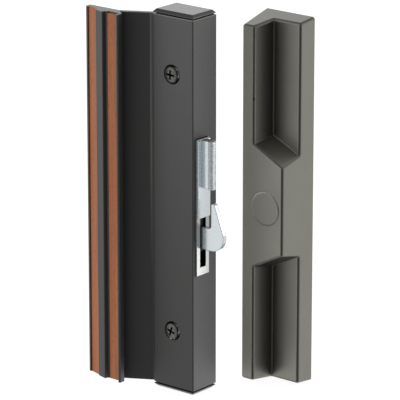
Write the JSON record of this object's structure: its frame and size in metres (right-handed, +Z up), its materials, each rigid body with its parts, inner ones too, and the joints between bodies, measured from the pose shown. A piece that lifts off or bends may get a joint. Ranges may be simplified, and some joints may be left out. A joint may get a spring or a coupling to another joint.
{
  "type": "sliding patio door handle",
  "caption": "Surface-mounted sliding patio door handle: black extruded grip with wood-tone strips, thumb-slide hook latch on its edge, and a cast outside pull beside it.",
  "frame": {"origin": "midway between the two mounting screws, on the plane where the handle meets the door", "axes": "+X across the wide face towards the jamb, +Y from the room into the door, +Z up"},
  "size_m": [0.0876, 0.0656, 0.1852],
  "materials": {
    "black_aluminium": "black anodised, satin",
    "black_plastic": "satin black",
    "wood_strip": "oiled reddish brown",
    "black_screw": "black, chipped at the rim",
    "plated_steel": "bright zinc plate",
    "spring_steel": "plain",
    "grey_casting": "warm dark grey, satin"
  },
  "bodies": {
    "handle": {"handle_extrusion": "black_aluminium", "top_end_cap": "black_plastic", "bottom_end_cap": "black_plastic", "inner_wood_strip": "wood_strip", "outer_wood_strip": "wood_strip", "upper_screw": "black_screw", "lower_screw": "black_screw", "latch_case": "plated_steel", "friction_spring": "spring_steel", "outside_pull": "grey_casting"},
    "latch": {"latch_slide": "plated_steel", "slide_keeper": "plated_steel", "latch_hook": "plated_steel"}
  },
  "joints": [
    {"name": "latch_travel", "type": "slide", "parent": "handle", "child": "latch", "axis": [0, 0, 1], "range_m": [-0.008, 0]}
  ]
}
